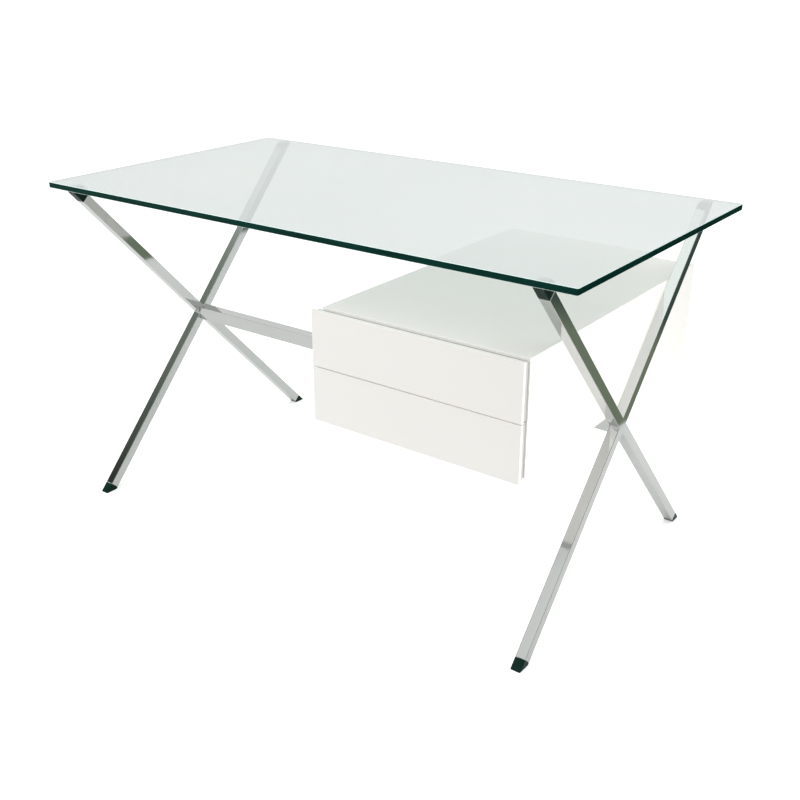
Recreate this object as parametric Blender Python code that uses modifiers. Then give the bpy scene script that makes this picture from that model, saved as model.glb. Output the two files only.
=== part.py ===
"""Glass-topped manicure table: a clear plate on two chrome X ends, with a two-drawer case.

Metres, +Z up. The origin is on the floor under the middle of the glass. +X runs along the
table's length, and the drawers open towards -Y, the side where the technician sits.
"""
import math

import bmesh
import bpy
from mathutils import Matrix, Vector

# ---------------------------------------------------------------- driving dimensions
GAP = 0.0003                # clearance kept between pieces that touch

TABLE_LENGTH = 1.220
TABLE_DEPTH = 0.660
TABLE_HEIGHT = 0.700
GLASS_THICKNESS = 0.012
GLASS_CORNER = 0.003        # radius of the plate's four corners, seen from above
GLASS_ARRIS = 0.0008        # ground edge of the plate

LEG_SIZE = 0.020            # square tube of the X ends
LEG_WALL = 0.002
LEG_CORNER = 0.001
END_X = 0.543               # plane of each X end, left and right of the middle
PAD_Y = 0.316               # where a leg's axis meets the glass
FOOT_Y = 0.323              # where a leg's axis meets the floor
HUB_Z = 0.345               # height of the crossing, and of the stretcher rail

RAIL_SIZE = 0.028
RAIL_WALL = 0.002

PAD_LENGTH = 0.024          # rubber between tube end and glass, along the leg's axis
FOOT_LENGTH = 0.0145        # rubber between tube end and floor, along the leg's axis
SPIGOT_LENGTH = 0.016       # plug of a pad or foot inside its tube
SPIGOT_ROOT = 0.003         # the plug starts this far inside the rubber block

CASE_LEFT = 0.108
CASE_RIGHT = 0.528
CASE_FRONT = -0.311
CASE_BACK = 0.330
CASE_HEIGHT = 0.208
BOARD = 0.016               # case boards
BACK_BOARD = 0.008
BOARD_EDGE = 0.0008

FRONT_LEFT = 0.098          # the fronts overhang the case on the left
FRONT_FACE = -0.330
FRONT_THICKNESS = 0.009
FRONT_DROP = 0.0045         # the lower front hangs below the case
FRONT_TOP_STEP = 0.0015     # the upper front stops below the case's top
FRONT_SPLIT = 0.0026        # gap between the two fronts
REVEAL_INSET = 0.003        # the inner front is smaller than the front all round
CLOSING_GAP = 0.001         # between the inner front and the case

DRAWER_BOARD = 0.012
DRAWER_SIDE_HEIGHT = 0.060
DRAWER_BOTTOM = 0.005
DRAWER_DEPTH = 0.500
DRAWER_BOTTOM_RISE = 0.008  # underside of the drawer bottom above the sides' lower edge
DRAWER_BACK_DROP = 0.008    # the back board is lower than the sides

SLIDE_SPACE = 0.0127        # between the case side and the drawer side
SLIDE_LENGTH = 0.450
SLIDE_SHEET = 0.0015
SLIDE_OUTER_HEIGHT = 0.027
SLIDE_INNER_HEIGHT = 0.022
SLIDE_OUTER_DEPTH = 0.010
SLIDE_SETBACK = 0.008       # front end of the slides behind the case's front edge

BRACKET_X = (0.190, 0.446)  # the two bracket pairs that carry the case on the rail
BRACKET_WIDTH = 0.040
BRACKET_REACH = 0.040
BRACKET_DROP = 0.024
BRACKET_SHEET = 0.003
BOLT_RADIUS = 0.003
BOLT_HEAD_RADIUS = 0.0055
BOLT_HEAD_HEIGHT = 0.0035
BOLT_TAIL = 0.0015          # thread standing out of the nut
NUT_RADIUS = 0.0058
NUT_HEIGHT = 0.005
SCREW_RADIUS = 0.002
SCREW_HEAD_RADIUS = 0.004
SCREW_HEAD_HEIGHT = 0.0024
SCREW_LENGTH = 0.014
SCREW_Y = 0.036             # screws in the brackets' flat legs
HOLE_CLEARANCE = 0.0003
TURNED_STEPS = 20

SIDES = (("left", -1), ("right", 1))
ROWS = (("front", -1), ("rear", 1))

# ---------------------------------------------------------------- levels worked out
GLASS_UNDERSIDE = TABLE_HEIGHT - GLASS_THICKNESS
RAIL_TOP = HUB_Z + RAIL_SIZE / 2
CASE_BOTTOM = RAIL_TOP + GAP
CASE_TOP = CASE_BOTTOM + CASE_HEIGHT
INNER_LEFT = CASE_LEFT + BOARD
INNER_RIGHT = CASE_RIGHT - BOARD
INNER_BOTTOM = CASE_BOTTOM + BOARD
INNER_TOP = CASE_TOP - BOARD
FRONTS_BOTTOM = CASE_BOTTOM - FRONT_DROP
FRONTS_TOP = CASE_TOP - FRONT_TOP_STEP
FRONT_HEIGHT = (FRONTS_TOP - FRONTS_BOTTOM - FRONT_SPLIT) / 2
INNER_FRONT_BACK = CASE_FRONT - CLOSING_GAP
DRAWER_LEFT = INNER_LEFT + SLIDE_SPACE
DRAWER_RIGHT = INNER_RIGHT - SLIDE_SPACE


# ---------------------------------------------------------------- scene and materials
def clear_scene():
    for old in list(bpy.data.objects):
        bpy.data.objects.remove(old, do_unlink=True)


def make_collection(name):
    collection = bpy.data.collections.new(name)
    bpy.context.scene.collection.children.link(collection)
    return collection


def make_material(name, color, roughness, metallic):
    material = bpy.data.materials.new(name)
    material.use_nodes = True
    shader = material.node_tree.nodes["Principled BSDF"]
    shader.inputs["Base Color"].default_value = (*color, 1.0)
    shader.inputs["Roughness"].default_value = roughness
    shader.inputs["Metallic"].default_value = metallic
    return material


clear_scene()
PARTS = make_collection("manicure_table")
CUTTERS = make_collection("cutters")
GLASS = make_material("clear_glass", (0.80, 0.92, 0.87), 0.02, 0.0)
CHROME = make_material("polished_chrome", (0.80, 0.81, 0.82), 0.06, 1.0)
RUBBER = make_material("black_rubber", (0.02, 0.03, 0.028), 0.6, 0.0)
LACQUER = make_material("white_lacquer", (0.88, 0.87, 0.84), 0.25, 0.0)
DRAWER_WHITE = make_material("drawer_melamine", (0.86, 0.85, 0.82), 0.4, 0.0)
ZINC = make_material("zinc_steel", (0.62, 0.63, 0.64), 0.35, 1.0)


# ---------------------------------------------------------------- modelling helpers
def place(obj, name, material=None):
    """Name an object and move it into the parts, or into the cutters when it has no material."""
    obj.name = name
    obj.data.name = name
    for collection in list(obj.users_collection):
        collection.objects.unlink(obj)
    if material is None:
        CUTTERS.objects.link(obj)
        obj.hide_render = True
        obj.display_type = 'WIRE'
        return obj
    PARTS.objects.link(obj)
    obj.data.materials.clear()
    obj.data.materials.append(material)
    return obj


def block(name, low, high, material=None, edge=0.0, empty=None):
    """A rectangular board between two corners, with rounded edges, under an empty if given."""
    low = Vector(low)
    high = Vector(high)
    bpy.ops.mesh.primitive_cube_add(size=1.0, location=(low + high) / 2)
    obj = bpy.context.active_object
    obj.scale = high - low
    bpy.ops.object.transform_apply(location=False, rotation=False, scale=True)
    place(obj, name, material)
    if edge > 0:
        bevel = obj.modifiers.new("rounded_edges", 'BEVEL')
        bevel.width = edge
        bevel.segments = 2
        bevel.limit_method = 'ANGLE'
    if empty is not None:
        obj.parent = empty
        obj.matrix_parent_inverse = Matrix.Translation(-empty.location)
    return obj


def rod(name, center, radius, length, axis, sides=TURNED_STEPS, material=None):
    """A cylinder, or a prism with few sides, along the X, Y or Z axis."""
    turns = {'X': (0, math.pi / 2, 0), 'Y': (math.pi / 2, 0, 0), 'Z': (0, 0, 0)}
    bpy.ops.mesh.primitive_cylinder_add(
        vertices=sides, radius=radius, depth=length, location=center, rotation=turns[axis])
    return place(bpy.context.active_object, name, material)


def cut(obj, cutter, operation='DIFFERENCE'):
    boolean = obj.modifiers.new(cutter.name, 'BOOLEAN')
    boolean.operation = operation
    boolean.solver = 'EXACT'
    boolean.object = cutter


def frame_along(start, end):
    """A matrix at start whose Z axis runs to end and whose X axis stays level."""
    direction = (end - start).normalized()
    side = Vector((1, 0, 0)) if abs(direction.x) < 0.5 else Vector((0, 1, 0))
    across = direction.cross(side).normalized()
    axes = Matrix((side, across, direction)).transposed()
    return Matrix.Translation(start) @ axes.to_4x4()


def square_bar(name, start, end, size, material=None, corner=0.0, trims=()):
    """A square bar from start to end, cut off at each trim plane (point, outward normal)."""
    mesh = bpy.data.meshes.new(name)
    bm = bmesh.new()
    bmesh.ops.create_cube(bm, size=1.0)
    length = (end - start).length
    bmesh.ops.scale(bm, vec=(size, size, length), verts=bm.verts)
    bmesh.ops.translate(bm, vec=(0, 0, length / 2), verts=bm.verts)
    if corner > 0:
        along = [edge for edge in bm.edges
                 if abs(edge.verts[0].co.z - edge.verts[1].co.z) > length / 2]
        bmesh.ops.bevel(bm, geom=along, offset=corner, segments=2, profile=0.5,
                        affect='EDGES', clamp_overlap=True)
    placing = frame_along(start, end)
    bmesh.ops.transform(bm, matrix=placing, verts=bm.verts)
    for point, normal in trims:
        everything = bm.verts[:] + bm.edges[:] + bm.faces[:]
        sliced = bmesh.ops.bisect_plane(bm, geom=everything, dist=1e-6, plane_co=point,
                                        plane_no=normal, clear_outer=True)
        rim = [item for item in sliced["geom_cut"] if isinstance(item, bmesh.types.BMEdge)]
        bmesh.ops.edgeloop_fill(bm, edges=rim)
    bmesh.ops.recalc_face_normals(bm, faces=bm.faces)
    bmesh.ops.transform(bm, matrix=placing.inverted(), verts=bm.verts)
    bm.to_mesh(mesh)
    bm.free()
    obj = bpy.data.objects.new(name, mesh)
    bpy.context.scene.collection.objects.link(obj)
    obj.matrix_world = placing
    return place(obj, name, material)


def turned(name, profile, location, rotation, material):
    """A solid of revolution about local Z. The profile runs from its top to its bottom."""
    mesh = bpy.data.meshes.new(name)
    points = [(radius, 0.0, height) for radius, height in profile]
    mesh.from_pydata(points, [(i, i + 1) for i in range(len(points) - 1)], [])
    obj = bpy.data.objects.new(name, mesh)
    bpy.context.scene.collection.objects.link(obj)
    obj.location = location
    obj.rotation_euler = rotation
    screw = obj.modifiers.new("turned", 'SCREW')
    screw.axis = 'Z'
    screw.steps = TURNED_STEPS
    screw.render_steps = TURNED_STEPS
    screw.use_merge_vertices = True
    screw.merge_threshold = 0.00005
    return place(obj, name, material)


# ---------------------------------------------------------------- glass top
def build_glass():
    low = (-TABLE_LENGTH / 2, -TABLE_DEPTH / 2, GLASS_UNDERSIDE)
    high = (TABLE_LENGTH / 2, TABLE_DEPTH / 2, TABLE_HEIGHT)
    plate = block("glass_top", low, high, GLASS)
    bm = bmesh.new()
    bm.from_mesh(plate.data)
    upright = [edge for edge in bm.edges
               if abs(edge.verts[0].co.z - edge.verts[1].co.z) > GLASS_THICKNESS / 2]
    bmesh.ops.bevel(bm, geom=upright, offset=GLASS_CORNER, segments=4, profile=0.5,
                    affect='EDGES', clamp_overlap=True)
    bm.to_mesh(plate.data)
    bm.free()
    arris = plate.modifiers.new("ground_arris", 'BEVEL')
    arris.width = GLASS_ARRIS
    arris.segments = 2
    arris.limit_method = 'ANGLE'


# ---------------------------------------------------------------- chrome X ends
def hub_half_diagonals():
    """Half width and half height of the rhombus where two legs cross."""
    upper = math.atan2(GLASS_UNDERSIDE - HUB_Z, PAD_Y)
    lower = math.atan2(HUB_Z, FOOT_Y)
    slope = (upper + lower) / 2
    half = LEG_SIZE / 2
    return half / math.sin(slope), half / math.cos(slope)


def build_hub(side, sign):
    half_width, half_height = hub_half_diagonals()
    bm = bmesh.new()
    bmesh.ops.create_cube(bm, size=1.0)
    bmesh.ops.rotate(bm, cent=(0, 0, 0), matrix=Matrix.Rotation(math.pi / 4, 3, 'X'),
                     verts=bm.verts)
    corner = math.sqrt(0.5)
    bmesh.ops.scale(bm, vec=(LEG_SIZE, half_width / corner, half_height / corner),
                    verts=bm.verts)
    mesh = bpy.data.meshes.new("hub_" + side)
    bm.to_mesh(mesh)
    bm.free()
    hub = bpy.data.objects.new("hub_" + side, mesh)
    bpy.context.scene.collection.objects.link(hub)
    hub.location = (sign * END_X, 0, HUB_Z)
    place(hub, "hub_" + side, CHROME)


def build_arm(level, row, row_sign, side, side_sign):
    """One half leg from the hub to its rubber pad or foot, with the tube's bore cut through."""
    hub = Vector((side_sign * END_X, 0, HUB_Z))
    if level == "upper":
        tip = Vector((hub.x, row_sign * PAD_Y, GLASS_UNDERSIDE))
        rubber_length = PAD_LENGTH
    else:
        tip = Vector((hub.x, row_sign * FOOT_Y, 0))
        rubber_length = FOOT_LENGTH
    direction = (tip - hub).normalized()
    tube_end = tip - direction * (rubber_length + GAP)
    half_width, half_height = hub_half_diagonals()
    height_sign = 1 if level == "upper" else -1
    hub_face_normal = Vector((0, row_sign / half_width, height_sign / half_height)).normalized()
    hub_face = hub + Vector((0, row_sign * half_width, 0)) + hub_face_normal * GAP
    name = "_".join(("arm", level, row, side))
    arm = square_bar(name, hub, tube_end, LEG_SIZE, CHROME, LEG_CORNER,
                     trims=[(hub_face, -hub_face_normal)])
    overrun = direction * LEG_SIZE
    bore = square_bar("bore_" + name, hub - overrun, tube_end + overrun, LEG_SIZE - 2 * LEG_WALL)
    cut(arm, bore)

    beyond = tip + direction * LEG_SIZE
    rubber_start = tip - direction * rubber_length
    if level == "upper":
        rubber_name = "_".join(("pad", row, side))
        plane = Vector((0, 0, GLASS_UNDERSIDE - GAP))
        outward = Vector((0, 0, 1))
    else:
        rubber_name = "_".join(("foot", row, side))
        plane = Vector((0, 0, 0))
        outward = Vector((0, 0, -1))
    rubber = square_bar(rubber_name, rubber_start, beyond, LEG_SIZE, RUBBER, LEG_CORNER,
                        trims=[(plane, outward)])
    spigot_start = rubber_start - direction * SPIGOT_LENGTH
    spigot_end = rubber_start + direction * SPIGOT_ROOT
    spigot = square_bar("spigot_" + rubber_name, spigot_start, spigot_end,
                        LEG_SIZE - 2 * LEG_WALL - 2 * GAP)
    cut(rubber, spigot, 'UNION')


def build_rail():
    reach = END_X - LEG_SIZE / 2 - GAP
    left = Vector((-reach, 0, HUB_Z))
    right = Vector((reach, 0, HUB_Z))
    rail = square_bar("stretcher_rail", left, right, RAIL_SIZE, CHROME, LEG_CORNER)
    overrun = Vector((RAIL_SIZE, 0, 0))
    bore = square_bar("bore_stretcher_rail", left - overrun, right + overrun,
                      RAIL_SIZE - 2 * RAIL_WALL)
    cut(rail, bore)
    return rail


def build_frame():
    for side, side_sign in SIDES:
        build_hub(side, side_sign)
        for row, row_sign in ROWS:
            for level in ("upper", "lower"):
                build_arm(level, row, row_sign, side, side_sign)
    return build_rail()


# ---------------------------------------------------------------- drawer case
def build_case():
    """Five lacquered boards. Top and bottom run over the sides, and the back sits between."""
    block("case_top", (CASE_LEFT, CASE_FRONT, INNER_TOP), (CASE_RIGHT, CASE_BACK, CASE_TOP),
          LACQUER, BOARD_EDGE)
    bottom = block("case_bottom", (CASE_LEFT, CASE_FRONT, CASE_BOTTOM),
                   (CASE_RIGHT, CASE_BACK, INNER_BOTTOM), LACQUER, BOARD_EDGE)
    for side, low_x, high_x in (("left", CASE_LEFT, INNER_LEFT), ("right", INNER_RIGHT, CASE_RIGHT)):
        block("case_side_" + side, (low_x, CASE_FRONT, INNER_BOTTOM + GAP),
              (high_x, CASE_BACK, INNER_TOP - GAP), LACQUER, BOARD_EDGE)
    block("case_back", (INNER_LEFT + GAP, CASE_BACK - BACK_BOARD, INNER_BOTTOM + GAP),
          (INNER_RIGHT - GAP, CASE_BACK, INNER_TOP - GAP), LACQUER)
    return bottom


def angle_bracket(name, middle_x, row_sign):
    """An angle: one leg lies against the rail's side and the other under the case."""
    rail_side = RAIL_SIZE / 2 + GAP
    top = CASE_BOTTOM - GAP
    ys = sorted((row_sign * rail_side, row_sign * (rail_side + BRACKET_REACH)))
    low = (middle_x - BRACKET_WIDTH / 2, ys[0], top - BRACKET_DROP)
    high = (middle_x + BRACKET_WIDTH / 2, ys[1], top)
    bracket = block(name, low, high, ZINC)
    inner = rail_side + BRACKET_SHEET
    ys = sorted((row_sign * inner, row_sign * (inner + 2 * BRACKET_REACH)))
    waste = block("waste_" + name,
                  (low[0] - BRACKET_WIDTH, ys[0], top - 2 * BRACKET_DROP),
                  (high[0] + BRACKET_WIDTH, ys[1], top - BRACKET_SHEET))
    cut(bracket, waste)
    return bracket


def build_screw(name, x, y, top_of_head):
    """A pan-head screw driven upwards. Its profile is written with the head at local +Z."""
    head = SCREW_HEAD_HEIGHT
    profile = [(0.0, head), (SCREW_HEAD_RADIUS * 0.7, head), (SCREW_HEAD_RADIUS, head * 0.5),
               (SCREW_HEAD_RADIUS, 0.0), (SCREW_RADIUS, 0.0),
               (SCREW_RADIUS, -SCREW_LENGTH * 0.8), (0.0, -SCREW_LENGTH)]
    turned(name, profile, (x, y, top_of_head), (math.pi, 0, 0), ZINC)


def build_bolt(name, x, head_y, length):
    """A button-head bolt along +Y, and its hexagon nut at the far side of the rail."""
    head = BOLT_HEAD_HEIGHT
    profile = [(0.0, head), (BOLT_HEAD_RADIUS * 0.6, head), (BOLT_HEAD_RADIUS, head * 0.45),
               (BOLT_HEAD_RADIUS, 0.0), (BOLT_RADIUS, 0.0), (BOLT_RADIUS, -length),
               (0.0, -length)]
    turned("bolt_" + name, profile, (x, head_y, HUB_Z), (math.pi / 2, 0, 0), ZINC)


def build_fixings(rail, case_bottom):
    """Brackets, bolts and screws that hold the case on top of the rail."""
    flat_underside = CASE_BOTTOM - GAP - BRACKET_SHEET
    bracket_face = RAIL_SIZE / 2 + GAP + BRACKET_SHEET + GAP
    for side, middle_x in zip(("left", "right"), BRACKET_X):
        bolt_hole = rod("bolt_hole_" + side, (middle_x, 0, HUB_Z), BOLT_RADIUS + HOLE_CLEARANCE,
                        4 * RAIL_SIZE, 'Y')
        cut(rail, bolt_hole)
        for row, row_sign in ROWS:
            bracket = angle_bracket("bracket_" + row + "_" + side, middle_x, row_sign)
            cut(bracket, bolt_hole)
            screw_y = row_sign * SCREW_Y
            hole = rod("screw_hole_" + row + "_" + side, (middle_x, screw_y, flat_underside),
                       SCREW_RADIUS + HOLE_CLEARANCE, 2 * SCREW_LENGTH + 2 * GAP, 'Z')
            cut(bracket, hole)
            cut(case_bottom, hole)
            build_screw("screw_" + row + "_" + side, middle_x, screw_y, flat_underside - GAP)
        bolt_length = 2 * bracket_face + GAP + NUT_HEIGHT + BOLT_TAIL
        build_bolt(side, middle_x, -bracket_face, bolt_length)
        nut = rod("nut_" + side, (middle_x, bracket_face + NUT_HEIGHT / 2, HUB_Z), NUT_RADIUS,
                  NUT_HEIGHT, 'Y', sides=6, material=ZINC)
        cut(nut, bolt_hole)


# ---------------------------------------------------------------- drawers
def channel(name, low, high, mouth_sign, material, empty=None):
    """A C-section of sheet steel whose mouth faces +X or -X."""
    section = block(name, low, high, material, empty=empty)
    depth = high[0] - low[0]
    length = high[1] - low[1]
    shift = mouth_sign * depth
    if mouth_sign > 0:
        low_x = low[0] + SLIDE_SHEET
        high_x = high[0] + shift
    else:
        low_x = low[0] + shift
        high_x = high[0] - SLIDE_SHEET
    core = block("core_" + name, (low_x, low[1] - length / 4, low[2] + SLIDE_SHEET),
                 (high_x, high[1] + length / 4, high[2] - SLIDE_SHEET), empty=empty)
    cut(section, core)


def build_slides(drawer, slide_z, empty):
    """On each side, a channel on the case and a smaller one on the drawer that runs in it."""
    front = CASE_FRONT + SLIDE_SETBACK
    back = front + SLIDE_LENGTH
    for side, wall, sign in (("left", INNER_LEFT, 1), ("right", INNER_RIGHT, -1)):
        fixed = sorted((wall + sign * GAP, wall + sign * (GAP + SLIDE_OUTER_DEPTH)))
        half = SLIDE_OUTER_HEIGHT / 2
        channel("slide_case_" + drawer + "_" + side, (fixed[0], front, slide_z - half),
                (fixed[1], back, slide_z + half), sign, ZINC)
        drawer_wall = wall + sign * (SLIDE_SPACE - GAP)
        inner_end = wall + sign * (GAP + SLIDE_SHEET + CLOSING_GAP)
        moving = sorted((inner_end, drawer_wall))
        half = SLIDE_INNER_HEIGHT / 2
        channel("slide_drawer_" + drawer + "_" + side, (moving[0], front, slide_z - half),
                (moving[1], back, slide_z + half), -sign, ZINC, empty)


def build_drawer(drawer, front_bottom):
    """Front, inner front and a four-board tray, all under an empty at the front's middle."""
    front_top = front_bottom + FRONT_HEIGHT
    middle = Vector(((FRONT_LEFT + CASE_RIGHT) / 2, FRONT_FACE, (front_bottom + front_top) / 2))
    empty = bpy.data.objects.new("drawer_" + drawer + "_slide", None)
    empty.location = middle
    PARTS.objects.link(empty)

    back_of_front = FRONT_FACE + FRONT_THICKNESS
    prefix = "drawer_" + drawer
    block(prefix + "_front", (FRONT_LEFT, FRONT_FACE, front_bottom),
          (CASE_RIGHT, back_of_front, front_top), LACQUER, BOARD_EDGE, empty)
    block(prefix + "_inner_front",
          (FRONT_LEFT + REVEAL_INSET, back_of_front + GAP, front_bottom + REVEAL_INSET),
          (CASE_RIGHT - REVEAL_INSET, INNER_FRONT_BACK, front_top - REVEAL_INSET),
          LACQUER, empty=empty)

    tray_front = INNER_FRONT_BACK + GAP
    tray_back = tray_front + DRAWER_DEPTH
    side_low = middle.z - DRAWER_SIDE_HEIGHT / 2
    side_high = side_low + DRAWER_SIDE_HEIGHT
    inside_left = DRAWER_LEFT + DRAWER_BOARD
    inside_right = DRAWER_RIGHT - DRAWER_BOARD
    for side, low_x, high_x in (("left", DRAWER_LEFT, inside_left),
                                ("right", inside_right, DRAWER_RIGHT)):
        block(prefix + "_side_" + side, (low_x, tray_front, side_low),
              (high_x, tray_back, side_high), DRAWER_WHITE, BOARD_EDGE, empty)
    floor_low = side_low + DRAWER_BOTTOM_RISE
    floor_high = floor_low + DRAWER_BOTTOM
    block(prefix + "_bottom", (inside_left + GAP, tray_front, floor_low),
          (inside_right - GAP, tray_back - DRAWER_BOARD - GAP, floor_high),
          DRAWER_WHITE, empty=empty)
    block(prefix + "_back", (inside_left + GAP, tray_back - DRAWER_BOARD, side_low),
          (inside_right - GAP, tray_back, side_high - DRAWER_BACK_DROP),
          DRAWER_WHITE, BOARD_EDGE, empty)
    build_slides(drawer, middle.z, empty)


def main():
    build_glass()
    rail = build_frame()
    case_bottom = build_case()
    build_fixings(rail, case_bottom)
    build_drawer("lower", FRONTS_BOTTOM)
    build_drawer("upper", FRONTS_BOTTOM + FRONT_HEIGHT + FRONT_SPLIT)


main()
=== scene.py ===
"""Looks of the glass-topped manicure table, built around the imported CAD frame.

Metres, +Z up, in the CAD's own frame: +X along the table, drawers opening towards -Y.
"""
import math

import bmesh
import bpy
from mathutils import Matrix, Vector


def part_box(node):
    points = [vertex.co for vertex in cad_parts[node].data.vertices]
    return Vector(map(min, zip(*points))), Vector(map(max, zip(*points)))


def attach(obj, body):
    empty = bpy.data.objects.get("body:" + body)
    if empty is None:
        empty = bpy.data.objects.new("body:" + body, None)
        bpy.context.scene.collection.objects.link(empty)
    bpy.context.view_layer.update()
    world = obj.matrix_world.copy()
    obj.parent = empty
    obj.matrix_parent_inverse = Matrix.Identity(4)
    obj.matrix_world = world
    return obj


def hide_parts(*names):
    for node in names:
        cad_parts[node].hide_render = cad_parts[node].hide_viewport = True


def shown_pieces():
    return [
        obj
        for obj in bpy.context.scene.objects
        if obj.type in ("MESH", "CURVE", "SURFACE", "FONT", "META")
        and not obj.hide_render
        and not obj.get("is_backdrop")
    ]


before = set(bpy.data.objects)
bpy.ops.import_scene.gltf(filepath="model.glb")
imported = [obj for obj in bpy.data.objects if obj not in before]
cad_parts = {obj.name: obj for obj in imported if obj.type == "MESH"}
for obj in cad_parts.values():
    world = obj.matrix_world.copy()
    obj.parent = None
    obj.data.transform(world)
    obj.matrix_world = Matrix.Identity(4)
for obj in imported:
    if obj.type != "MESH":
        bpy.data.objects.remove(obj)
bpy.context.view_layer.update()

# ---------------------------------------------------------------- dimensions
LEG_SIZE = 0.020            # side of the square leg tube
LEG_CORNER = 0.0010
RUBBER_LENGTH = {"upper": 0.024, "lower": 0.0145}    # pad or foot, along the leg's axis
GAP = 0.0003                # between a leg and its rubber, and between a pad and the glass
BOARD = 0.016               # thickness of the case's boards

GLASS_CORNER = 0.003        # radius of the plate's upright corners
GLASS_CORNER_STEPS = 6
GLASS_ARRIS = 0.0008        # width of the ground chamfer
STEEL_THICKNESS = 0.0010    # steel plate bonded between a rubber pad and the glass
STEEL_INSET = 0.0008        # from the pad's sides
STEEL_LIFT = GAP / 3        # from the rubber
STEEL_EDGE = GAP / 2
RUBBER_EDGE = 0.0009
LACQUER_EDGE = 0.0005
TRAY_EDGE = 0.0012
FRONT_SHEET = 0.0068        # thickness of a drawer's front, before its inner front, which is painted grey for the shade in the recess
INNER_EDGE = 0.0004
SPLIT_CLOSING = 0.0004      # each front reaches this much further into the gap between them

AXIS_ROUNDS = 20            # enough for a leg axis's reach to stop changing
SAME_HEIGHT = 1e-6          # two heights closer than this are the same

SIDES = ("left", "right")
ROWS = ("front", "rear")
DRAWERS = ("lower", "upper")

# ---------------------------------------------------------------- camera and studio
CAMERA_PLACE = (1.27789, -1.66125, 1.16357)
CAMERA_DOWN = 23.497        # degrees below the horizon
CAMERA_TURN = 36.541        # degrees to the left of +Y
CAMERA_LENS = 48.006        # mm, on a sensor this wide
CAMERA_SENSOR = 36.0

FLOOR_SIZE = 60.0
FLOOR_GLOW = 0.44           # where the camera sees the floor
MIRRORED_GLOW = 0.18        # where a polished surface mirrors it
GLASS_MIRROR = 0.68         # share of a slanting view that the plate mirrors
GLASS_SLANT = (0.28, 0.52)  # Facing value where that mirroring begins, and where it is full

# Studio seen by reflections and light: (direction's share of the axis, level).
SKY_STOPS = ((0.50, 0.03), (0.64, 0.20), (0.71, 0.47), (0.86, 0.95))     # by direction Z
REAR_STOPS = ((0.10, 0.03), (0.30, 0.27), (0.50, 0.52), (1.0, 0.56))     # by direction Y
FRONT_STOPS = ((0.51, 0.02), (0.58, 0.58), (1.0, 0.60))                  # by direction -Y
BRIGHT_LEVEL = 0.4          # a level above this is nearly neutral, and below it is greenish
BRIGHT_TINT = 0.985         # red and blue as a share of green
DIM_TINT = 0.86
ROOM_STRENGTH = 1.8
BACKDROP_WHITE = 1.1        # what the camera sees past the floor

# A dark card that only reflections see: two corners, its height, and where along Y it turns
# from olive to almost black.
CARD_LOW = (0.86, 0.35)
CARD_HIGH = (4.5, 6.0)
CARD_HEIGHT = 0.004
CARD_TURN = (1.25, 1.55)
CARD_OLIVE = (0.215, 0.255, 0.187)
CARD_BLACK = (0.054, 0.084, 0.072)

# Name, place, target, width, height, radiance, and whether it lights only the case and the
# drawers. Such a light casts no shadow.
PANELS = (
    ("right_panel", (2.2, -0.25, 0.50), (0.5, -0.2, 0.40), 0.9, 0.9, 11.5, True),
    ("front_panel", (-1.9, -2.4, 1.2), (0.2, -0.2, 0.4), 1.6, 1.2, 5.4, False),
    ("under_panel", (0.32, 0.0, 0.02), (0.32, 0.0, 0.4), 0.7, 0.9, 1.4, True),
    ("left_panel", (-3.4, 0.4, 0.6), (0, 0, 0.4), 2.0, 1.6, 1.6, False),
)


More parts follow.
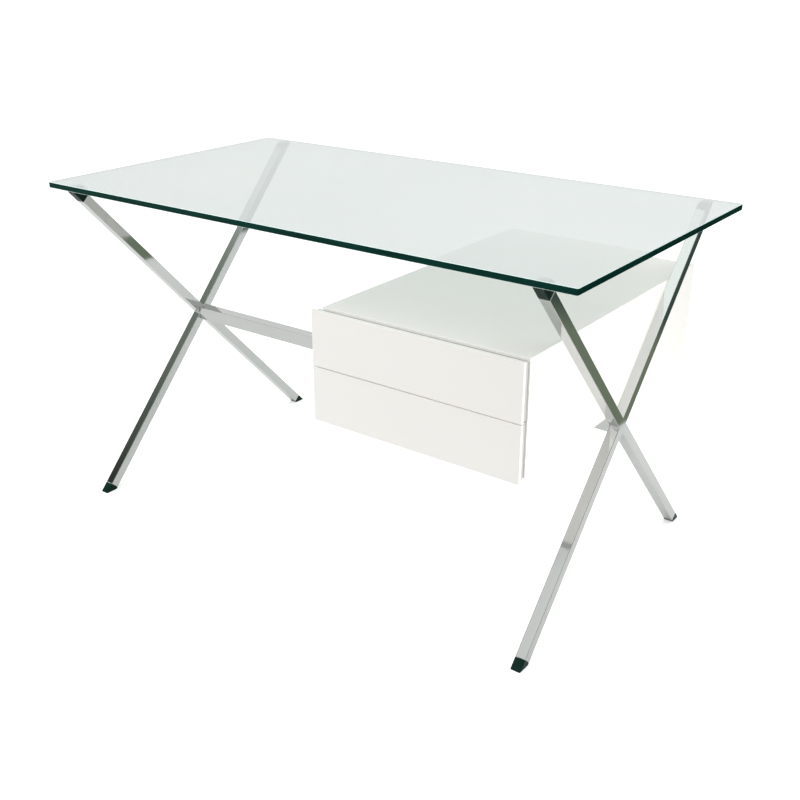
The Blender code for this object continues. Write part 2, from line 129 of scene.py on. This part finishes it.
# ---------------------------------------------------------------- material graphs
class Graph:
    """One material's node tree, with short ways to add and join its nodes."""

    def __init__(self, name):
        self.material = bpy.data.materials.new(name)
        self.material.use_nodes = True
        self.nodes = self.material.node_tree.nodes
        self.links = self.material.node_tree.links
        self.nodes.clear()
        self.output = self.nodes.new("ShaderNodeOutputMaterial")
        self.coords = self.nodes.new("ShaderNodeTexCoord").outputs["Object"]

    def noise(self, scale, detail=3.0, roughness=0.5, stretch=(1, 1, 1)):
        """A number from 0 to 1 that varies over the object's own space."""
        mapping = self.nodes.new("ShaderNodeMapping")
        mapping.inputs["Scale"].default_value = stretch
        self.links.new(self.coords, mapping.inputs["Vector"])
        node = self.nodes.new("ShaderNodeTexNoise")
        node.inputs["Scale"].default_value = scale
        node.inputs["Detail"].default_value = detail
        node.inputs["Roughness"].default_value = roughness
        self.links.new(mapping.outputs["Vector"], node.inputs["Vector"])
        return node.outputs["Fac"]

    def ramp(self, value, low, high, start=0.3, end=0.7):
        """A colour that runs from low to high as value runs from start to end."""
        node = self.nodes.new("ShaderNodeValToRGB")
        first, last = node.color_ramp.elements
        first.position, last.position = start, end
        first.color, last.color = (*low, 1), (*high, 1)
        self.links.new(value, node.inputs["Fac"])
        return node.outputs["Color"]

    def between(self, value, low, high, start=0.3, end=0.7):
        """A number that runs from low to high as value runs from start to end."""
        node = self.nodes.new("ShaderNodeMapRange")
        for socket, number in (("From Min", start), ("From Max", end),
                               ("To Min", low), ("To Max", high)):
            node.inputs[socket].default_value = number
        self.links.new(value, node.inputs["Value"])
        return node.outputs["Result"]

    def bump(self, height, strength, distance):
        node = self.nodes.new("ShaderNodeBump")
        node.inputs["Strength"].default_value = strength
        node.inputs["Distance"].default_value = distance
        self.links.new(height, node.inputs["Height"])
        return node.outputs["Normal"]

    def principled(self, color, roughness, normal=None, **constants):
        """A Principled shader. Constants are its other sockets, with _ for each space."""
        node = self.nodes.new("ShaderNodeBsdfPrincipled")
        self.links.new(color, node.inputs["Base Color"])
        self.links.new(roughness, node.inputs["Roughness"])
        if normal is not None:
            self.links.new(normal, node.inputs["Normal"])
        for socket, number in constants.items():
            node.inputs[socket.replace("_", " ")].default_value = number
        return node.outputs["BSDF"]

    def mix(self, factor, first, second):
        """The first shader where factor is 0, and the second where it is 1."""
        node = self.nodes.new("ShaderNodeMixShader")
        self.links.new(factor, node.inputs[0])
        self.links.new(first, node.inputs[1])
        self.links.new(second, node.inputs[2])
        return node.outputs["Shader"]

    def finish(self, surface):
        self.links.new(surface, self.output.inputs["Surface"])
        return self.material


def make_clear_glass():
    """Low-tint float glass that mirrors the studio when seen aslant.

    Light that only passes on its way to other things goes straight through.
    """
    g = Graph("clear_glass")
    tint = g.ramp(g.noise(1.3, 2.0), (0.900, 0.945, 0.930), (0.925, 0.960, 0.948))
    rough = g.between(g.noise(5.0, 4.0), 0.0, 0.012, 0.45, 0.75)
    wave = g.bump(g.noise(3.0, 1.0), 0.02, 0.0004)
    solid = g.principled(tint, rough, wave, Transmission_Weight=1.0, IOR=1.52)
    mirror = g.nodes.new("ShaderNodeBsdfGlossy")
    sheen = g.ramp(g.noise(2.1, 3.0), (0.745, 0.780, 0.773), (0.778, 0.805, 0.802))
    g.links.new(sheen, mirror.inputs["Color"])
    g.links.new(g.between(g.noise(4.0, 3.0), 0.02, 0.06), mirror.inputs["Roughness"])
    slant = g.nodes.new("ShaderNodeLayerWeight")
    slant.inputs["Blend"].default_value = 0.5
    share = g.between(slant.outputs["Facing"], 0.0, GLASS_MIRROR, *GLASS_SLANT)
    body = g.mix(share, solid, mirror.outputs["BSDF"])
    through = g.nodes.new("ShaderNodeBsdfTransparent")
    through.inputs["Color"].default_value = (0.735, 0.775, 0.755, 1)
    path = g.nodes.new("ShaderNodeLightPath")
    either = g.nodes.new("ShaderNodeMath")
    either.operation = 'MAXIMUM'
    g.links.new(path.outputs["Is Shadow Ray"], either.inputs[0])
    g.links.new(path.outputs["Is Diffuse Ray"], either.inputs[1])
    return g.finish(g.mix(either.outputs["Value"], body, through.outputs["BSDF"]))


def make_glass_edge():
    """Polished edge of the plate: deep green from outside, and open to light from inside."""
    g = Graph("glass_edge")
    streaks = g.noise(7.0, 4.0, 0.6, (1, 1, 14))
    color = g.ramp(streaks, (0.000, 0.018, 0.013), (0.001, 0.036, 0.027))
    rough = g.between(g.noise(60.0, 3.0), 0.04, 0.14)
    ripple = g.bump(g.noise(180.0, 2.0), 0.05, 0.0003)
    solid = g.principled(color, rough, ripple, Specular_IOR_Level=0.04)
    inside = g.nodes.new("ShaderNodeBsdfTransparent")
    inside.inputs["Color"].default_value = (0.52, 0.50, 0.51, 1)
    facing = g.nodes.new("ShaderNodeNewGeometry")
    return g.finish(g.mix(facing.outputs["Backfacing"], solid, inside.outputs["BSDF"]))


def make_glass_arris():
    """The narrow ground chamfer round the plate's edges, which catches the light."""
    g = Graph("glass_arris")
    color = g.ramp(g.noise(35.0, 3.0), (0.66, 0.88, 0.85), (0.82, 0.96, 0.94))
    rough = g.between(g.noise(220.0, 2.0), 0.22, 0.42)
    grit = g.bump(g.noise(2400.0, 1.0), 0.15, 0.0001)
    return g.finish(g.principled(color, rough, grit))


def make_chrome():
    g = Graph("polished_chrome")
    color = g.ramp(g.noise(4.0, 3.0), (0.510, 0.522, 0.515), (0.550, 0.558, 0.553))
    rough = g.between(g.noise(14.0, 5.0, 0.65), 0.030, 0.085)
    polish = g.bump(g.noise(420.0, 2.0), 0.012, 0.0002)
    return g.finish(g.principled(color, rough, polish, Metallic=1.0))


def make_rubber():
    g = Graph("black_rubber")
    color = g.ramp(g.noise(90.0, 4.0), (0.002, 0.015, 0.011), (0.004, 0.026, 0.020))
    rough = g.between(g.noise(160.0, 3.0), 0.22, 0.40)
    pebble = g.bump(g.noise(2600.0, 2.0), 0.25, 0.0001)
    return g.finish(g.principled(color, rough, pebble, Specular_IOR_Level=0.08))


def make_steel_plate():
    g = Graph("bonded_plate")
    color = g.ramp(g.noise(60.0, 3.0), (0.20, 0.21, 0.21), (0.27, 0.28, 0.28))
    rough = g.between(g.noise(300.0, 3.0, 0.5, (1, 12, 1)), 0.28, 0.42)
    brush = g.bump(g.noise(900.0, 1.0, 0.5, (1, 20, 1)), 0.10, 0.0001)
    return g.finish(g.principled(color, rough, brush, Metallic=0.6))


def make_lacquer(name, low, high):
    g = Graph(name)
    color = g.ramp(g.noise(2.2, 2.0), low, high, 0.2, 0.8)
    rough = g.between(g.noise(26.0, 4.0), 0.22, 0.26)
    peel = g.bump(g.noise(750.0, 1.5), 0.015, 0.0001)
    return g.finish(g.principled(color, rough, peel, Coat_Weight=0.5, Coat_Roughness=0.06))


def make_melamine():
    g = Graph("drawer_melamine")
    streaks = g.noise(160.0, 4.0, 0.6, (1, 0.12, 1))
    color = g.ramp(streaks, (0.790, 0.780, 0.752), (0.822, 0.813, 0.786))
    rough = g.between(g.noise(120.0, 3.0), 0.38, 0.52)
    grain = g.bump(g.noise(900.0, 2.0, 0.5, (1, 0.2, 1)), 0.12, 0.0001)
    return g.finish(g.principled(color, rough, grain))


def make_zinc():
    g = Graph("zinc_steel")
    color = g.ramp(g.noise(120.0, 4.0, 0.6), (0.50, 0.52, 0.54), (0.66, 0.67, 0.68))
    rough = g.between(g.noise(90.0, 4.0), 0.24, 0.42)
    grain = g.bump(g.noise(1500.0, 2.0), 0.12, 0.0001)
    return g.finish(g.principled(color, rough, grain, Metallic=1.0))


def make_floor_paper():
    """White paper: bright to the camera, dimmer in a mirror, and dull as a bounce of light."""
    g = Graph("floor_paper")
    color = g.ramp(g.noise(1.1, 3.0), (0.790, 0.790, 0.788), (0.810, 0.810, 0.808))
    rough = g.between(g.noise(8.0, 3.0), 0.75, 0.9)
    fibre = g.bump(g.noise(300.0, 2.0), 0.05, 0.0002)
    seen = g.principled(color, rough, fibre, Specular_IOR_Level=0.1,
                        Emission_Color=(1, 1, 1, 1), Emission_Strength=FLOOR_GLOW)
    mirrored = g.principled(color, rough, fibre, Specular_IOR_Level=0.1,
                            Emission_Color=(1, 1, 1, 1), Emission_Strength=MIRRORED_GLOW)
    dull = g.ramp(g.noise(1.1, 3.0), (0.43, 0.43, 0.425), (0.45, 0.45, 0.445))
    bounced = g.principled(dull, rough, Specular_IOR_Level=0.0)
    path = g.nodes.new("ShaderNodeLightPath")
    body = g.mix(path.outputs["Is Glossy Ray"], seen, mirrored)
    return g.finish(g.mix(path.outputs["Is Diffuse Ray"], body, bounced))


def make_dark_card():
    """Card that turns from olive near the table to almost black further back."""
    g = Graph("dark_card")
    split = g.nodes.new("ShaderNodeSeparateXYZ")
    g.links.new(g.coords, split.inputs["Vector"])
    distance = g.between(split.outputs["Y"], 0.0, 1.0, *CARD_TURN)
    color = g.ramp(distance, CARD_OLIVE, CARD_BLACK, 0.0, 1.0)
    rough = g.between(g.noise(6.0, 2.0), 0.8, 0.95)
    return g.finish(g.principled(color, rough, Specular_IOR_Level=0.0))


GLASS = [make_clear_glass(), make_glass_edge(), make_glass_arris()]
CLEAR, EDGE, ARRIS = range(3)
CHROME = make_chrome()
RUBBER = make_rubber()
STEEL_PLATE = make_steel_plate()
LACQUER = make_lacquer("white_lacquer", (0.860, 0.834, 0.808), (0.876, 0.852, 0.828))
# Painted shade: the inner fronts are coloured mid grey to stand for the shade in the recess
# between each front and the case.
REVEAL_PAINTED_SHADE = make_lacquer("reveal_painted_shade", (0.460, 0.455, 0.446), (0.490, 0.485, 0.476))
MELAMINE = make_melamine()
ZINC = make_zinc()


# ---------------------------------------------------------------- mesh helpers
def new_object(name, bm, materials, smooth=True):
    bmesh.ops.recalc_face_normals(bm, faces=bm.faces)
    mesh = bpy.data.meshes.new(name)
    bm.to_mesh(mesh)
    bm.free()
    for material in materials:
        mesh.materials.append(material)
    if smooth:
        mesh.shade_smooth()
    piece = bpy.data.objects.new(name, mesh)
    bpy.context.scene.collection.objects.link(piece)
    return piece


def round_edges(piece, width, segments=3):
    bevel = piece.modifiers.new("rounded_edges", 'BEVEL')
    bevel.width = width
    bevel.segments = segments
    bevel.limit_method = 'ANGLE'
    bevel.harden_normals = True


def settle(piece, body, nodes):
    """The piece rides on a body and stands for these CAD nodes, which are hidden."""
    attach(piece, body)
    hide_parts(*nodes)


def add_box(bm, low, high):
    """A box between its lowest and highest corners."""
    made = bmesh.ops.create_cube(bm, size=1.0)["verts"]
    size = Vector(high) - Vector(low)
    bmesh.ops.scale(bm, vec=size, verts=made)
    bmesh.ops.translate(bm, vec=(Vector(low) + Vector(high)) / 2, verts=made)


def add_prism(bm, outline, low_x, high_x, patches=None):
    """A solid whose outline in the YZ plane is drawn out along X. Patches split the end faces."""
    near = [bm.verts.new((high_x, y, z)) for y, z in outline]
    far = [bm.verts.new((low_x, y, z)) for y, z in outline]
    count = len(outline)
    for i in range(count):
        j = (i + 1) % count
        bm.faces.new((near[i], near[j], far[j], far[i]))
    for patch in patches or [range(count)]:
        bm.faces.new([near[i] for i in patch])
        bm.faces.new([far[i] for i in patch])


# ---------------------------------------------------------------- glass plate
def build_glass():
    """The plate, in layers from top to bottom: clear face, arris, edge, arris, clear face."""
    low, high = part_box("glass_top")

    def ring(inset, z):
        """The plate's outline at height z, drawn in by inset."""
        radius = GLASS_CORNER - inset
        points = []
        for quarter, (sx, sy) in enumerate(((1, 1), (-1, 1), (-1, -1), (1, -1))):
            cx = (high.x if sx > 0 else low.x) - sx * GLASS_CORNER
            cy = (high.y if sy > 0 else low.y) - sy * GLASS_CORNER
            for step in range(GLASS_CORNER_STEPS + 1):
                angle = (quarter + step / GLASS_CORNER_STEPS) * math.pi / 2
                points.append((cx + radius * math.cos(angle), cy + radius * math.sin(angle), z))
        return [bm.verts.new(point) for point in points]

    bm = bmesh.new()
    rings = [ring(GLASS_ARRIS, high.z), ring(0, high.z - GLASS_ARRIS),
             ring(0, low.z + GLASS_ARRIS), ring(GLASS_ARRIS, low.z)]
    bm.faces.new(rings[0]).material_index = CLEAR
    bm.faces.new(list(reversed(rings[3]))).material_index = CLEAR
    count = len(rings[0])
    for upper, lower, material_index in zip(rings, rings[1:], (ARRIS, EDGE, ARRIS)):
        for i in range(count):
            j = (i + 1) % count
            bm.faces.new((upper[j], upper[i], lower[i], lower[j])).material_index = material_index
    plate = new_object("glass_plate", bm, GLASS, smooth=False)
    settle(plate, "root", ["glass_top"])


# ---------------------------------------------------------------- chrome X ends
def leg_axes(side):
    """The hub's middle, and where each arm's axis meets the glass's underside or the floor."""
    low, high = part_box("hub_" + side)
    hub = (low + high) / 2
    glass_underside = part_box("glass_top")[0].z
    tips = {}
    for level, kind, height in (("upper", "pad", glass_underside), ("lower", "foot", 0.0)):
        for row, sign in zip(ROWS, (-1, 1)):
            low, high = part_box("_".join((kind, row, side)))
            outer = high.y if sign > 0 else -low.y
            rise = abs(height - hub.z)
            reach = outer
            for _ in range(AXIS_ROUNDS):
                reach = outer - LEG_SIZE / 2 * math.hypot(reach, rise) / rise
            tips[level, row] = Vector((sign * reach, height))
    return hub, tips


def line_crossing(point_a, along_a, point_b, along_b):
    """Where two lines of the YZ plane meet, each given by a point and a direction."""
    cross = along_a.x * along_b.y - along_a.y * along_b.x
    offset = point_b - point_a
    return point_a + along_a * ((offset.x * along_b.y - offset.y * along_b.x) / cross)


def build_x_end(side):
    """Four half legs and their crossing as one polished solid."""
    hub, tips = leg_axes(side)
    middle = Vector((hub.y, hub.z))
    half = LEG_SIZE / 2
    order = [("upper", "rear"), ("upper", "front"), ("lower", "front"), ("lower", "rear")]
    arms = []
    for level, row in order:
        tip = tips[level, row]
        direction = (tip - middle).normalized()
        arms.append((direction, tip - direction * (RUBBER_LENGTH[level] + GAP)))
    outline = []
    for i, (direction, end) in enumerate(arms):
        before = arms[i - 1][0]
        left_before = Vector((-before.y, before.x)) * half
        left = Vector((-direction.y, direction.x)) * half
        outline.append(line_crossing(middle + left_before, before, middle - left, direction))
        outline.append(end - left)
        outline.append(end + left)
    patches = [(0, 3, 6, 9)]
    patches += [(3 * i, 3 * i + 1, 3 * i + 2, (3 * i + 3) % 12) for i in range(4)]
    bm = bmesh.new()
    add_prism(bm, outline, hub.x - half, hub.x + half, patches)
    piece = new_object("x_end_" + side, bm, [CHROME])
    round_edges(piece, LEG_CORNER)
    nodes = ["_".join(("arm", level, row, side)) for level, row in order]
    settle(piece, "root", nodes + ["hub_" + side])

    for level, row in order:
        build_rubber(level, row, side, hub, tips[level, row])


def build_rubber(level, row, side, hub, tip):
    """A wedge of rubber that ends a leg level with the glass or the floor.

    A pad has a thin steel plate between it and the glass.
    """
    half = LEG_SIZE / 2
    direction = (tip - Vector((hub.y, hub.z))).normalized()
    normal = Vector((-direction.y, direction.x))
    is_pad = level == "upper"
    kind = "pad" if is_pad else "foot"
    start = tip - direction * RUBBER_LENGTH[level]
    plane = tip.y - GAP if is_pad else tip.y
    rubber_plane = plane - STEEL_THICKNESS if is_pad else plane
    outline = []
    for offset in (-half, half):
        side_start = start + normal * offset
        side_end = side_start + direction * ((rubber_plane - side_start.y) / direction.y)
        pair = [side_start, side_end]
        outline += pair if offset < 0 else pair[::-1]
    bm = bmesh.new()
    add_prism(bm, outline, hub.x - half, hub.x + half)
    node = "_".join((kind, row, side))
    piece = new_object("rubber_" + node, bm, [RUBBER])
    round_edges(piece, RUBBER_EDGE)
    settle(piece, "root", [node])
    if is_pad:
        ys = [point.x for point in outline if abs(point.y - rubber_plane) < SAME_HEIGHT]
        reach = half - STEEL_INSET
        bm = bmesh.new()
        add_box(bm, (hub.x - reach, min(ys) + STEEL_INSET, rubber_plane + STEEL_LIFT),
                (hub.x + reach, max(ys) - STEEL_INSET, plane))
        plate = new_object("bonded_plate_" + row + "_" + side, bm, [STEEL_PLATE])
        round_edges(plate, STEEL_EDGE, 2)
        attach(plate, "root")


def build_rail():
    low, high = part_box("stretcher_rail")
    bm = bmesh.new()
    add_box(bm, low, high)
    piece = new_object("rail", bm, [CHROME])
    round_edges(piece, LEG_CORNER)
    settle(piece, "root", ["stretcher_rail"])


# ---------------------------------------------------------------- drawer case
def build_case():
    """One lacquered sleeve with mitred corners, and a thin back panel let into it."""
    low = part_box("case_bottom")[0]
    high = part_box("case_top")[1]
    outer = [(low.x, low.z), (high.x, low.z), (high.x, high.z), (low.x, high.z)]
    inner = [(low.x + BOARD, low.z + BOARD), (high.x - BOARD, low.z + BOARD),
             (high.x - BOARD, high.z - BOARD), (low.x + BOARD, high.z - BOARD)]
    bm = bmesh.new()
    loops = {}
    for place, y in (("front", low.y), ("rear", high.y)):
        loops[place, "outer"] = [bm.verts.new((x, y, z)) for x, z in outer]
        loops[place, "inner"] = [bm.verts.new((x, y, z)) for x, z in inner]
    strips = (("front", "outer", "rear", "outer"), ("front", "inner", "rear", "inner"),
              ("front", "outer", "front", "inner"), ("rear", "outer", "rear", "inner"))
    for place_a, ring_a, place_b, ring_b in strips:
        a, b = loops[place_a, ring_a], loops[place_b, ring_b]
        for i in range(4):
            j = (i + 1) % 4
            bm.faces.new((a[i], a[j], b[j], b[i]))
    shell = new_object("case_shell", bm, [LACQUER])
    round_edges(shell, LACQUER_EDGE)
    boards = ["case_top", "case_bottom", "case_side_left", "case_side_right"]
    settle(shell, "root", boards)

    bm = bmesh.new()
    add_box(bm, *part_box("case_back"))
    panel = new_object("case_back_panel", bm, [LACQUER])
    round_edges(panel, LACQUER_EDGE)
    settle(panel, "root", ["case_back"])


def build_fronts(drawer, body):
    """The front and, behind it, the smaller inner front that leaves a reveal round it, painted
    grey as the reveal's shade.
    """
    low, high = (Vector(corner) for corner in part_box(body + "_front"))
    inner_low, inner_high = (Vector(corner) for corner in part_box(body + "_inner_front"))
    if drawer == "lower":
        high.z += SPLIT_CLOSING
        inner_high.z = high.z
    else:
        low.z -= SPLIT_CLOSING
        inner_low.z = low.z
    high.y = low.y + FRONT_SHEET
    inner_low.y = high.y
    for part, material, corners, edge in (
            ("_front", LACQUER, (low, high), LACQUER_EDGE),
            ("_inner_front", REVEAL_PAINTED_SHADE, (inner_low, inner_high), INNER_EDGE)):
        bm = bmesh.new()
        add_box(bm, *corners)
        piece = new_object(drawer + part, bm, [material])
        round_edges(piece, edge)
        settle(piece, body, [body + part])


def build_drawer(drawer):
    """A drawer's two fronts, and its tray of sides, back and bottom."""
    body = "drawer_" + drawer
    build_fronts(drawer, body)
    nodes = [body + part for part in ("_side_left", "_side_right", "_back", "_bottom")]
    bm = bmesh.new()
    for node in nodes:
        add_box(bm, *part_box(node))
    tray = new_object(drawer + "_tray", bm, [MELAMINE])
    round_edges(tray, TRAY_EDGE)
    settle(tray, body, nodes)


def finish_steel():
    """Brackets, fixings and slides keep their CAD shape and get the zinc finish."""
    for name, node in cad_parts.items():
        if name.startswith(("bracket_", "screw_", "bolt_", "nut_", "slide_")):
            node.data.materials.clear()
            node.data.materials.append(ZINC)


# ---------------------------------------------------------------- studio
def area_light(name, place, target, size_x, size_y, radiance, lit, shadow):
    """A soft panel that lights one collection only and that no mirror or camera sees."""
    data = bpy.data.lights.new(name, 'AREA')
    data.shape = 'RECTANGLE'
    data.size = size_x
    data.size_y = size_y
    data.use_shadow = shadow
    data.energy = radiance * math.pi * size_x * size_y
    light = bpy.data.objects.new(name, data)
    light.location = place
    light.rotation_euler = (Vector(target) - Vector(place)).to_track_quat('-Z', 'Y').to_euler()
    light.visible_camera = False
    light.visible_glossy = False
    light.visible_transmission = False
    light.light_linking.receiver_collection = lit
    bpy.context.scene.collection.objects.link(light)


def stage_sheet(name, low, high, height, material):
    """A level sheet of the stage between two corners."""
    bm = bmesh.new()
    corners = [(low[0], low[1]), (high[0], low[1]), (high[0], high[1]), (low[0], high[1])]
    bm.faces.new([bm.verts.new((x, y, height)) for x, y in corners])
    sheet = new_object(name, bm, [material], smooth=False)
    sheet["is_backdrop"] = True
    return sheet


def world_ramp(nodes, links, value, stops):
    """A ramp of light over one part of the direction. Stops are (position, level)."""
    ramp = nodes.new("ShaderNodeValToRGB")
    elements = ramp.color_ramp.elements
    while len(elements) < len(stops):
        elements.new(0.5)       # its real position is set below
    for element, (position, level) in zip(elements, stops):
        element.position = position
        tint = BRIGHT_TINT if level > BRIGHT_LEVEL else DIM_TINT
        element.color = (level * tint, level, level * tint, 1)
    links.new(value, ramp.inputs["Fac"])
    return ramp.outputs["Color"]


def build_world():
    """White behind the table, and for all other rays a studio with a bright ceiling and walls.

    The three ramps, over up, back and front, are joined by taking the lighter of them.
    """
    world = bpy.data.worlds.new("studio")
    bpy.context.scene.world = world
    world.use_nodes = True
    nodes, links = world.node_tree.nodes, world.node_tree.links
    nodes.clear()
    coords = nodes.new("ShaderNodeTexCoord")
    split = nodes.new("ShaderNodeSeparateXYZ")
    links.new(coords.outputs["Generated"], split.inputs["Vector"])
    forward = nodes.new("ShaderNodeMath")
    forward.operation = 'MULTIPLY'
    forward.inputs[1].default_value = -1.0
    links.new(split.outputs["Y"], forward.inputs[0])
    lit = world_ramp(nodes, links, split.outputs["Z"], SKY_STOPS)
    walls = ((split.outputs["Y"], REAR_STOPS), (forward.outputs["Value"], FRONT_STOPS))
    for value, stops in walls:
        lighter = nodes.new("ShaderNodeMix")
        lighter.data_type = 'RGBA'
        lighter.blend_type = 'LIGHTEN'
        lighter.inputs["Factor"].default_value = 1.0
        links.new(lit, lighter.inputs["A"])
        links.new(world_ramp(nodes, links, value, stops), lighter.inputs["B"])
        lit = lighter.outputs["Result"]
    room = nodes.new("ShaderNodeBackground")
    room.inputs["Strength"].default_value = ROOM_STRENGTH
    links.new(lit, room.inputs["Color"])
    white = nodes.new("ShaderNodeBackground")
    white.inputs["Color"].default_value = (1, 1, 1, 1)
    white.inputs["Strength"].default_value = BACKDROP_WHITE
    path = nodes.new("ShaderNodeLightPath")
    mix = nodes.new("ShaderNodeMixShader")
    links.new(path.outputs["Is Camera Ray"], mix.inputs[0])
    links.new(room.outputs["Background"], mix.inputs[1])
    links.new(white.outputs["Background"], mix.inputs[2])
    output = nodes.new("ShaderNodeOutputWorld")
    links.new(mix.outputs["Shader"], output.inputs["Surface"])


def build_studio():
    bpy.context.scene.view_settings.view_transform = 'Standard'
    build_world()
    half = FLOOR_SIZE / 2
    stage_sheet("floor", (-half, -half), (half, half), 0.0, make_floor_paper())
    card = stage_sheet("dark_card", CARD_LOW, CARD_HIGH, CARD_HEIGHT, make_dark_card())
    card.visible_camera = False
    card.visible_diffuse = False
    card.visible_transmission = False
    card.visible_shadow = False
    whole_table = bpy.data.collections.new("table_pieces")
    case_only = bpy.data.collections.new("case_pieces")
    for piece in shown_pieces():
        whole_table.objects.link(piece)
        if piece.name.startswith(("case_", "lower_", "upper_")):
            case_only.objects.link(piece)
    for *panel, for_case in PANELS:
        area_light(*panel, case_only if for_case else whole_table, shadow=not for_case)


def build_camera():
    """The photograph's viewpoint."""
    data = bpy.data.cameras.new("camera")
    data.sensor_width = CAMERA_SENSOR
    data.lens = CAMERA_LENS
    camera = bpy.data.objects.new("camera", data)
    camera.location = CAMERA_PLACE
    camera.rotation_euler = (math.radians(90 - CAMERA_DOWN), 0, math.radians(CAMERA_TURN))
    bpy.context.scene.collection.objects.link(camera)
    bpy.context.scene.camera = camera


build_glass()
for side in SIDES:
    build_x_end(side)
build_rail()
build_case()
for drawer in DRAWERS:
    build_drawer(drawer)
finish_steel()
build_studio()
build_camera()

bpy.context.view_layer.update()
